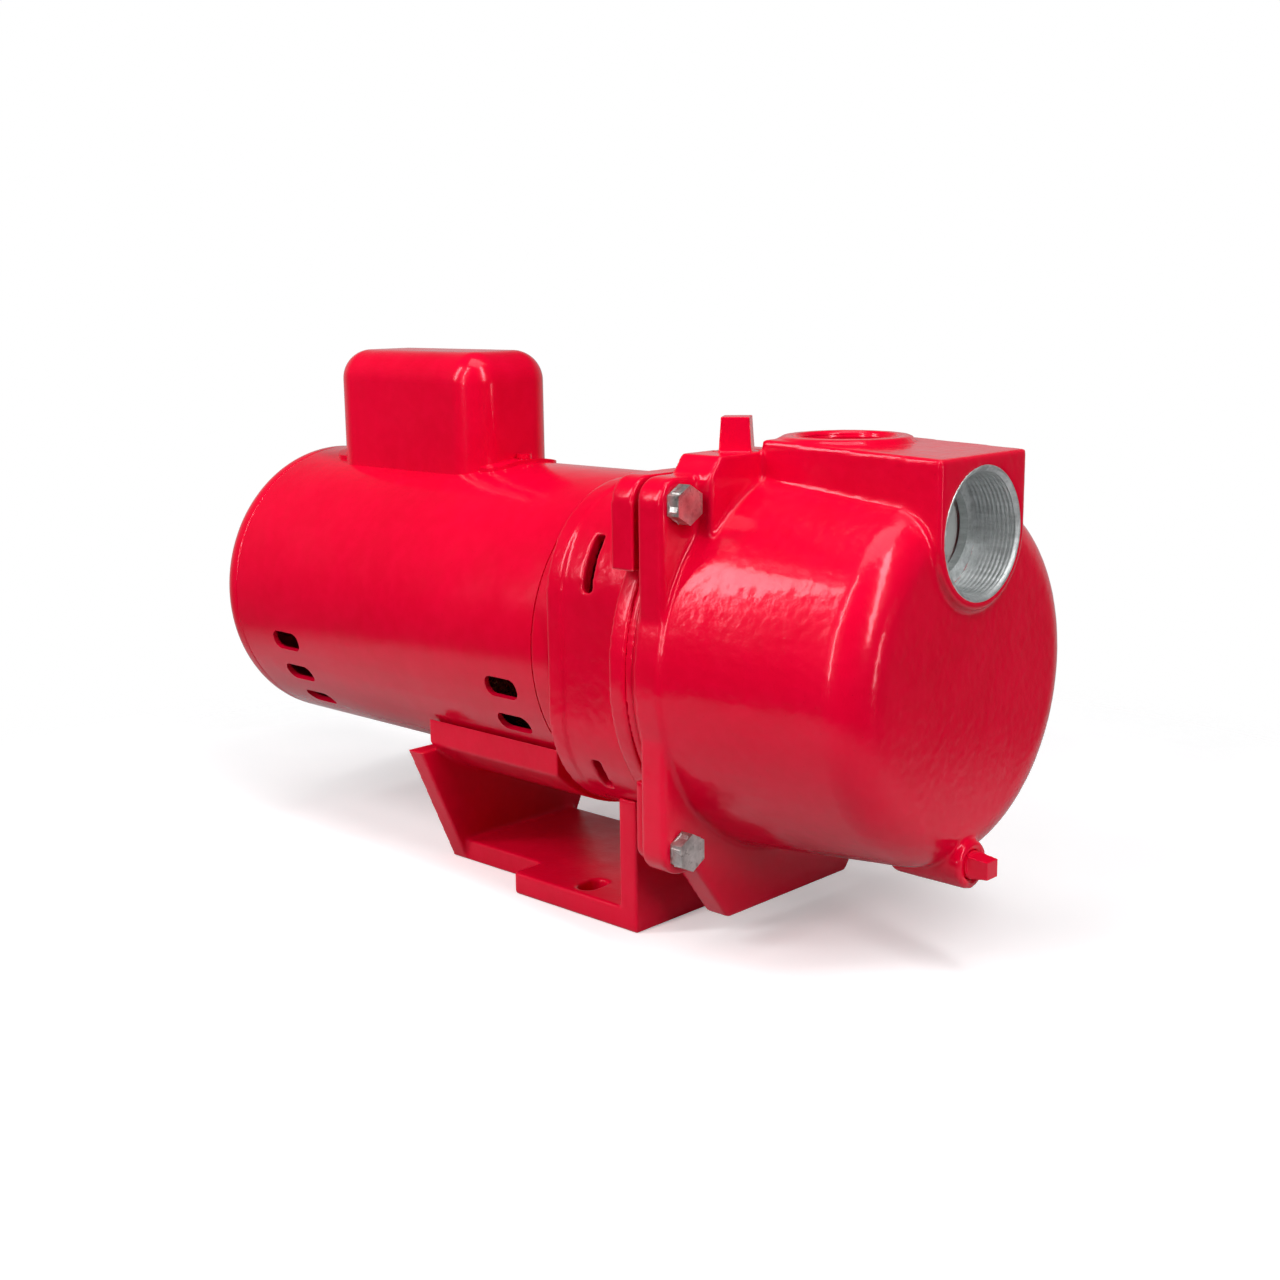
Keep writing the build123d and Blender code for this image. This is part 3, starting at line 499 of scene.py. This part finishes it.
# ---- stage, light and camera --------------------------------------------------------------------
def studio_floor():
    """A pale disc that fades out at its rim. Its brightness differs for camera, diffuse and glossy rays."""
    spokes = 96
    rows = []
    for radius in (0.02, 0.2, 0.4, 0.62):
        angles = np.linspace(0, math.tau, spokes, endpoint=False)
        rows.append([Vector((radius * math.cos(a), radius * math.sin(a), 0.0)) for a in angles])
    work = bmesh.new()
    loops = [[work.verts.new(p) for p in row] for row in rows]
    work.faces.new(loops[0])
    for inner, outer in zip(loops, loops[1:]):
        for j in range(spokes):
            k = (j + 1) % spokes
            work.faces.new((inner[j], outer[j], outer[k], inner[k]))
    mesh = bpy.data.meshes.new("studio_floor")
    work.to_mesh(mesh)
    work.free()
    tidy_mesh(mesh)
    floor = bpy.data.objects.new("studio_floor", mesh)
    floor.location.z = -0.0002
    net = Net("studio_floor_paper")
    tone = net.ramp(net.noise(14, 3), 0.3, 0.7)
    colour = net.mix(tone, (0.86, 0.86, 0.87), (0.89, 0.89, 0.90))
    net.bump((net.noise(900, 2), 0.00002))
    net.set(Specular_IOR_Level=0.15)
    net.set(Emission_Color=(1, 1, 1, 1))
    path = net.add("ShaderNodeLightPath")
    seen = net.maths("MULTIPLY", path.outputs["Is Camera Ray"], 0.34)
    net.link(seen, net.shader.inputs["Emission Strength"])
    colour = net.mix(path.outputs["Is Diffuse Ray"], colour, (0.34, 0.34, 0.35))
    colour = net.mix(net.maths("MULTIPLY", path.outputs["Is Glossy Ray"], 0.45), colour, (0.30, 0.30, 0.31))
    distance = net.add("ShaderNodeVectorMath", operation="LENGTH")
    net.link(net.place, distance.inputs[0])
    net.link(net.ramp(distance.outputs["Value"], 0.40, 0.58, 1.0, 0.0), net.shader.inputs["Alpha"])
    floor.data.materials.append(net.finish(colour, net.ramp(tone, 0, 1, 0.75, 0.85)))
    bpy.context.scene.collection.objects.link(floor)


def softbox(name, azimuth, elevation, distance, width, height, power):
    """An area light. Azimuth 0 is on the pump's near side, -Y, and 90 in front of its suction port, +X."""
    az, el = math.radians(azimuth), math.radians(elevation)
    away = Vector((math.sin(az) * math.cos(el), -math.cos(az) * math.cos(el), math.sin(el)))
    light = bpy.data.lights.new(name, "AREA")
    light.shape = "RECTANGLE"
    light.size, light.size_y = width, height
    light.energy = power
    lamp = bpy.data.objects.new(name, light)
    lamp.location = LIT_POINT + away * distance
    lamp.rotation_euler = away.to_track_quat("Z", "Y").to_euler()
    bpy.context.scene.collection.objects.link(lamp)


def studio_world():
    """Dark towards the near side, white behind the pump, and white where it is seen directly."""
    world = bpy.data.worlds.new("studio")
    bpy.context.scene.world = world
    world.use_nodes = True
    tree = world.node_tree
    tree.nodes.clear()
    out = tree.nodes.new("ShaderNodeOutputWorld")
    coord = tree.nodes.new("ShaderNodeTexCoord")
    dot = tree.nodes.new("ShaderNodeVectorMath")
    dot.operation = "DOT_PRODUCT"
    dot.inputs[1].default_value = (-0.69, 0.72, 0.08)
    tree.links.new(coord.outputs["Generated"], dot.inputs[0])
    behind = tree.nodes.new("ShaderNodeMapRange")
    behind.interpolation_type = "SMOOTHSTEP"
    behind.inputs["From Min"].default_value = 0.10
    behind.inputs["From Max"].default_value = 0.75
    tree.links.new(dot.outputs["Value"], behind.inputs["Value"])
    split = tree.nodes.new("ShaderNodeSeparateXYZ")
    tree.links.new(coord.outputs["Generated"], split.inputs[0])
    low = tree.nodes.new("ShaderNodeMapRange")
    low.interpolation_type = "SMOOTHSTEP"
    low.inputs["From Min"].default_value = 0.70
    low.inputs["From Max"].default_value = 0.15
    tree.links.new(split.outputs["Z"], low.inputs["Value"])
    band = tree.nodes.new("ShaderNodeMath")
    band.operation = "MULTIPLY"
    tree.links.new(behind.outputs["Result"], band.inputs[0])
    tree.links.new(low.outputs["Result"], band.inputs[1])
    fade = tree.nodes.new("ShaderNodeMapRange")
    fade.inputs["To Min"].default_value = 0.05
    fade.inputs["To Max"].default_value = 0.45
    tree.links.new(band.outputs[0], fade.inputs["Value"])
    around = tree.nodes.new("ShaderNodeBackground")
    around.inputs["Color"].default_value = (1, 1, 1, 1)
    tree.links.new(fade.outputs["Result"], around.inputs["Strength"])
    seen = tree.nodes.new("ShaderNodeBackground")
    seen.inputs["Color"].default_value = (1, 1, 1, 1)
    seen.inputs["Strength"].default_value = 1.0
    path = tree.nodes.new("ShaderNodeLightPath")
    mix = tree.nodes.new("ShaderNodeMixShader")
    tree.links.new(path.outputs["Is Camera Ray"], mix.inputs[0])
    tree.links.new(around.outputs[0], mix.inputs[1])
    tree.links.new(seen.outputs[0], mix.inputs[2])
    tree.links.new(mix.outputs[0], out.inputs["Surface"])


def studio_camera():
    azimuth, elevation, roll = math.radians(43.68), math.radians(11.47), math.radians(-0.74)
    camera = bpy.data.cameras.new("camera")
    camera.lens = 48.63
    camera.sensor_width = 36.0
    camera.clip_start = 0.01
    eye = bpy.data.objects.new("camera", camera)
    level = math.cos(elevation)
    forward = Vector((-math.sin(azimuth) * level, math.cos(azimuth) * level, -math.sin(elevation)))
    right = Vector((math.cos(azimuth), math.sin(azimuth), 0))
    up = right.cross(forward)
    across = right * math.cos(roll) + up * math.sin(roll)
    upward = up * math.cos(roll) - right * math.sin(roll)
    turn = Matrix((across, upward, -forward)).transposed().to_4x4()
    eye.matrix_world = Matrix.Translation((0.6123, -0.6512, 0.3156)) @ turn
    bpy.context.scene.collection.objects.link(eye)
    bpy.context.scene.camera = eye


studio_floor()
studio_world()
studio_camera()
softbox("near_strip", -4, 32, 1.5, 0.09, 1.60, 10.0)
softbox("near_glow", -37, 32, 1.5, 0.22, 0.95, 8.5)
softbox("front_box", 74, 40, 1.5, 0.22, 1.50, 17.0)
softbox("corner_card", 103, -2, 1.6, 0.14, 0.30, 1.5)
softbox("overhead", 20, 84, 1.5, 1.0, 0.8, 8)
bpy.context.scene.view_settings.view_transform = "Standard"
